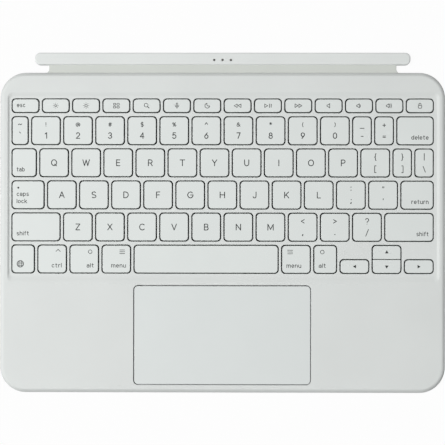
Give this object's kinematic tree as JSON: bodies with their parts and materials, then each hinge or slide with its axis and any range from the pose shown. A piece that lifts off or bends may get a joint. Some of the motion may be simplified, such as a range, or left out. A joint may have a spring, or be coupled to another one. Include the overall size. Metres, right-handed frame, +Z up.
{
  "type": "tablet keyboard case",
  "caption": "Thin skin-covered keyboard body with a recessed key bay and click pad, hinged by a flexible flap to a slim connector bar.",
  "frame": {"origin": "centre of the keyboard body's underside", "axes": "+X to the right along the key rows, +Y away from the user towards the connector bar, +Z up out of the keys"},
  "size_m": [0.2496, 0.1908, 0.0064],
  "materials": {
    "skin": "fine-grained synthetic skin, satin",
    "plate": "plain",
    "frame": "matt",
    "web": "matt",
    "steel": "brushed",
    "membrane": "matt",
    "dome": "matt",
    "link": "matt",
    "dark_plastic": "matt",
    "board": "solder resist",
    "magnet": "nickel plated",
    "pad": "etched, opaque, painted from behind",
    "flap": "fine-grained synthetic skin, satin",
    "cable": "polyimide film",
    "bar": "soft-touch coat, satin",
    "contact": "gold plated",
    "lamp": "satin",
    "keycap": "satin"
  },
  "bodies": {
    "keyboard_base": {"top_skin": "skin", "base_skin": "skin", "base_plate": "plate", "deck_frame": "frame", "key_web": "web", "key_backplate": "steel", "switch_membrane": "membrane", "rubber_domes": "dome", "scissor_outer_links": "link", "scissor_inner_links": "link", "stabiliser_wires": "steel", "clickpad_switch": "dark_plastic", "clickpad_springs": "steel", "controller_board": "board", "closing_magnets": "magnet"},
    "clickpad": {"clickpad_plate": "pad", "clickpad_circuit": "board", "clickpad_carrier": "steel"},
    "flap": {"hinge_flap": "flap", "flap_cable": "cable"},
    "connector_bar": {"bar_housing": "bar", "bar_cover": "bar", "bar_magnets": "magnet", "contact_carrier": "dark_plastic", "contact_springs": "contact"},
    "contact_pins": {"contact_pins": "contact"},
    "key_a": {"key_a": "keycap"},
    "key_b": {"key_b": "keycap"},
    "key_c": {"key_c": "keycap"},
    "key_d": {"key_d": "keycap"},
    "key_e": {"key_e": "keycap"},
    "key_f": {"key_f": "keycap"},
    "key_g": {"key_g": "keycap"},
    "key_h": {"key_h": "keycap"},
    "key_i": {"key_i": "keycap"},
    "key_j": {"key_j": "keycap"},
    "key_k": {"key_k": "keycap"},
    "key_l": {"key_l": "keycap"},
    "key_m": {"key_m": "keycap"},
    "key_n": {"key_n": "keycap"},
    "key_o": {"key_o": "keycap"},
    "key_p": {"key_p": "keycap"},
    "key_q": {"key_q": "keycap"},
    "key_r": {"key_r": "keycap"},
    "key_s": {"key_s": "keycap"},
    "key_t": {"key_t": "keycap"},
    "key_u": {"key_u": "keycap"},
    "key_v": {"key_v": "keycap"},
    "key_w": {"key_w": "keycap"},
    "key_x": {"key_x": "keycap"},
    "key_y": {"key_y": "keycap"},
    "key_z": {"key_z": "keycap"},
    "space_bar": {"space_bar": "keycap"},
    "return_key": {"return_key": "keycap"},
    "function_keys": {"function_keys": "keycap"},
    "number_keys": {"number_keys": "keycap"},
    "punctuation_keys": {"punctuation_keys": "keycap"},
    "modifier_keys": {"modifier_keys": "keycap", "caps_lamp_window": "lamp"},
    "arrow_keys": {"arrow_keys": "keycap"}
  },
  "joints": [
    {"name": "flap_fold", "type": "hinge", "parent": "keyboard_base", "child": "flap", "pos_m": [0, 0.09055, 0.0026], "axis": [1, 0, 0], "range_deg": [-90, 90]},
    {"name": "bar_fold", "type": "hinge", "parent": "flap", "child": "connector_bar", "pos_m": [0, 0.09355, 0.0026], "axis": [-1, 0, 0], "range_deg": [-90, 90]},
    {"name": "contact_press", "type": "slide", "parent": "connector_bar", "child": "contact_pins", "axis": [0, 0, -1], "range_m": [0, 0.00035], "stiffness_N_per_m": 1500, "springref_m": -0.0002, "deforming": ["contact_springs"]},
    {"name": "clickpad_press", "type": "slide", "parent": "keyboard_base", "child": "clickpad", "axis": [0, 0, -1], "range_m": [0, 0.00025], "stiffness_N_per_m": 3000, "springref_m": -0.0004, "deforming": ["clickpad_springs"]},
    {"name": "key_a_press", "type": "slide", "parent": "keyboard_base", "child": "key_a", "axis": [0, 0, -1], "range_m": [0, 0.001], "stiffness_N_per_m": 500, "springref_m": -0.0002, "deforming": ["rubber_domes", "scissor_outer_links", "scissor_inner_links"]},
    {"name": "key_b_press", "type": "slide", "parent": "keyboard_base", "child": "key_b", "axis": [0, 0, -1], "range_m": [0, 0.001], "stiffness_N_per_m": 500, "springref_m": -0.0002, "deforming": ["rubber_domes", "scissor_outer_links", "scissor_inner_links"]},
    {"name": "key_c_press", "type": "slide", "parent": "keyboard_base", "child": "key_c", "axis": [0, 0, -1], "range_m": [0, 0.001], "stiffness_N_per_m": 500, "springref_m": -0.0002, "deforming": ["rubber_domes", "scissor_outer_links", "scissor_inner_links"]},
    {"name": "key_d_press", "type": "slide", "parent": "keyboard_base", "child": "key_d", "axis": [0, 0, -1], "range_m": [0, 0.001], "stiffness_N_per_m": 500, "springref_m": -0.0002, "deforming": ["rubber_domes", "scissor_outer_links", "scissor_inner_links"]},
    {"name": "key_e_press", "type": "slide", "parent": "keyboard_base", "child": "key_e", "axis": [0, 0, -1], "range_m": [0, 0.001], "stiffness_N_per_m": 500, "springref_m": -0.0002, "deforming": ["rubber_domes", "scissor_outer_links", "scissor_inner_links"]},
    {"name": "key_f_press", "type": "slide", "parent": "keyboard_base", "child": "key_f", "axis": [0, 0, -1], "range_m": [0, 0.001], "stiffness_N_per_m": 500, "springref_m": -0.0002, "deforming": ["rubber_domes", "scissor_outer_links", "scissor_inner_links"]},
    {"name": "key_g_press", "type": "slide", "parent": "keyboard_base", "child": "key_g", "axis": [0, 0, -1], "range_m": [0, 0.001], "stiffness_N_per_m": 500, "springref_m": -0.0002, "deforming": ["rubber_domes", "scissor_outer_links", "scissor_inner_links"]},
    {"name": "key_h_press", "type": "slide", "parent": "keyboard_base", "child": "key_h", "axis": [0, 0, -1], "range_m": [0, 0.001], "stiffness_N_per_m": 500, "springref_m": -0.0002, "deforming": ["rubber_domes", "scissor_outer_links", "scissor_inner_links"]},
    {"name": "key_i_press", "type": "slide", "parent": "keyboard_base", "child": "key_i", "axis": [0, 0, -1], "range_m": [0, 0.001], "stiffness_N_per_m": 500, "springref_m": -0.0002, "deforming": ["rubber_domes", "scissor_outer_links", "scissor_inner_links"]},
    {"name": "key_j_press", "type": "slide", "parent": "keyboard_base", "child": "key_j", "axis": [0, 0, -1], "range_m": [0, 0.001], "stiffness_N_per_m": 500, "springref_m": -0.0002, "deforming": ["rubber_domes", "scissor_outer_links", "scissor_inner_links"]},
    {"name": "key_k_press", "type": "slide", "parent": "keyboard_base", "child": "key_k", "axis": [0, 0, -1], "range_m": [0, 0.001], "stiffness_N_per_m": 500, "springref_m": -0.0002, "deforming": ["rubber_domes", "scissor_outer_links", "scissor_inner_links"]},
    {"name": "key_l_press", "type": "slide", "parent": "keyboard_base", "child": "key_l", "axis": [0, 0, -1], "range_m": [0, 0.001], "stiffness_N_per_m": 500, "springref_m": -0.0002, "deforming": ["rubber_domes", "scissor_outer_links", "scissor_inner_links"]},
    {"name": "key_m_press", "type": "slide", "parent": "keyboard_base", "child": "key_m", "axis": [0, 0, -1], "range_m": [0, 0.001], "stiffness_N_per_m": 500, "springref_m": -0.0002, "deforming": ["rubber_domes", "scissor_outer_links", "scissor_inner_links"]},
    {"name": "key_n_press", "type": "slide", "parent": "keyboard_base", "child": "key_n", "axis": [0, 0, -1], "range_m": [0, 0.001], "stiffness_N_per_m": 500, "springref_m": -0.0002, "deforming": ["rubber_domes", "scissor_outer_links", "scissor_inner_links"]},
    {"name": "key_o_press", "type": "slide", "parent": "keyboard_base", "child": "key_o", "axis": [0, 0, -1], "range_m": [0, 0.001], "stiffness_N_per_m": 500, "springref_m": -0.0002, "deforming": ["rubber_domes", "scissor_outer_links", "scissor_inner_links"]},
    {"name": "key_p_press", "type": "slide", "parent": "keyboard_base", "child": "key_p", "axis": [0, 0, -1], "range_m": [0, 0.001], "stiffness_N_per_m": 500, "springref_m": -0.0002, "deforming": ["rubber_domes", "scissor_outer_links", "scissor_inner_links"]},
    {"name": "key_q_press", "type": "slide", "parent": "keyboard_base", "child": "key_q", "axis": [0, 0, -1], "range_m": [0, 0.001], "stiffness_N_per_m": 500, "springref_m": -0.0002, "deforming": ["rubber_domes", "scissor_outer_links", "scissor_inner_links"]},
    {"name": "key_r_press", "type": "slide", "parent": "keyboard_base", "child": "key_r", "axis": [0, 0, -1], "range_m": [0, 0.001], "stiffness_N_per_m": 500, "springref_m": -0.0002, "deforming": ["rubber_domes", "scissor_outer_links", "scissor_inner_links"]},
    {"name": "key_s_press", "type": "slide", "parent": "keyboard_base", "child": "key_s", "axis": [0, 0, -1], "range_m": [0, 0.001], "stiffness_N_per_m": 500, "springref_m": -0.0002, "deforming": ["rubber_domes", "scissor_outer_links", "scissor_inner_links"]},
    {"name": "key_t_press", "type": "slide", "parent": "keyboard_base", "child": "key_t", "axis": [0, 0, -1], "range_m": [0, 0.001], "stiffness_N_per_m": 500, "springref_m": -0.0002, "deforming": ["rubber_domes", "scissor_outer_links", "scissor_inner_links"]},
    {"name": "key_u_press", "type": "slide", "parent": "keyboard_base", "child": "key_u", "axis": [0, 0, -1], "range_m": [0, 0.001], "stiffness_N_per_m": 500, "springref_m": -0.0002, "deforming": ["rubber_domes", "scissor_outer_links", "scissor_inner_links"]},
    {"name": "key_v_press", "type": "slide", "parent": "keyboard_base", "child": "key_v", "axis": [0, 0, -1], "range_m": [0, 0.001], "stiffness_N_per_m": 500, "springref_m": -0.0002, "deforming": ["rubber_domes", "scissor_outer_links", "scissor_inner_links"]},
    {"name": "key_w_press", "type": "slide", "parent": "keyboard_base", "child": "key_w", "axis": [0, 0, -1], "range_m": [0, 0.001], "stiffness_N_per_m": 500, "springref_m": -0.0002, "deforming": ["rubber_domes", "scissor_outer_links", "scissor_inner_links"]},
    {"name": "key_x_press", "type": "slide", "parent": "keyboard_base", "child": "key_x", "axis": [0, 0, -1], "range_m": [0, 0.001], "stiffness_N_per_m": 500, "springref_m": -0.0002, "deforming": ["rubber_domes", "scissor_outer_links", "scissor_inner_links"]},
    {"name": "key_y_press", "type": "slide", "parent": "keyboard_base", "child": "key_y", "axis": [0, 0, -1], "range_m": [0, 0.001], "stiffness_N_per_m": 500, "springref_m": -0.0002, "deforming": ["rubber_domes", "scissor_outer_links", "scissor_inner_links"]},
    {"name": "key_z_press", "type": "slide", "parent": "keyboard_base", "child": "key_z", "axis": [0, 0, -1], "range_m": [0, 0.001], "stiffness_N_per_m": 500, "springref_m": -0.0002, "deforming": ["rubber_domes", "scissor_outer_links", "scissor_inner_links"]},
    {"name": "space_bar_press", "type": "slide", "parent": "keyboard_base", "child": "space_bar", "axis": [0, 0, -1], "range_m": [0, 0.001], "stiffness_N_per_m": 700, "springref_m": -0.0002, "deforming": ["rubber_domes", "scissor_outer_links", "scissor_inner_links", "stabiliser_wires"]},
    {"name": "return_key_press", "type": "slide", "parent": "keyboard_base", "child": "return_key", "axis": [0, 0, -1], "range_m": [0, 0.001], "stiffness_N_per_m": 500, "springref_m": -0.0002, "deforming": ["rubber_domes", "scissor_outer_links", "scissor_inner_links"]},
    {"name": "function_keys_press", "type": "slide", "parent": "keyboard_base", "child": "function_keys", "axis": [0, 0, -1], "range_m": [0, 0.001], "stiffness_N_per_m": 6000, "springref_m": -0.0002, "deforming": ["rubber_domes", "scissor_outer_links", "scissor_inner_links"]},
    {"name": "number_keys_press", "type": "slide", "parent": "keyboard_base", "child": "number_keys", "axis": [0, 0, -1], "range_m": [0, 0.001], "stiffness_N_per_m": 5000, "springref_m": -0.0002, "deforming": ["rubber_domes", "scissor_outer_links", "scissor_inner_links"]},
    {"name": "punctuation_keys_press", "type": "slide", "parent": "keyboard_base", "child": "punctuation_keys", "axis": [0, 0, -1], "range_m": [0, 0.001], "stiffness_N_per_m": 5500, "springref_m": -0.0002, "deforming": ["rubber_domes", "scissor_outer_links", "scissor_inner_links"]},
    {"name": "modifier_keys_press", "type": "slide", "parent": "keyboard_base", "child": "modifier_keys", "axis": [0, 0, -1], "range_m": [0, 0.001], "stiffness_N_per_m": 5500, "springref_m": -0.0002, "deforming": ["rubber_domes", "scissor_outer_links", "scissor_inner_links", "stabiliser_wires"]},
    {"name": "arrow_keys_press", "type": "slide", "parent": "keyboard_base", "child": "arrow_keys", "axis": [0, 0, -1], "range_m": [0, 0.001], "stiffness_N_per_m": 2000, "springref_m": -0.0002, "deforming": ["rubber_domes", "scissor_outer_links", "scissor_inner_links"]}
  ]
}
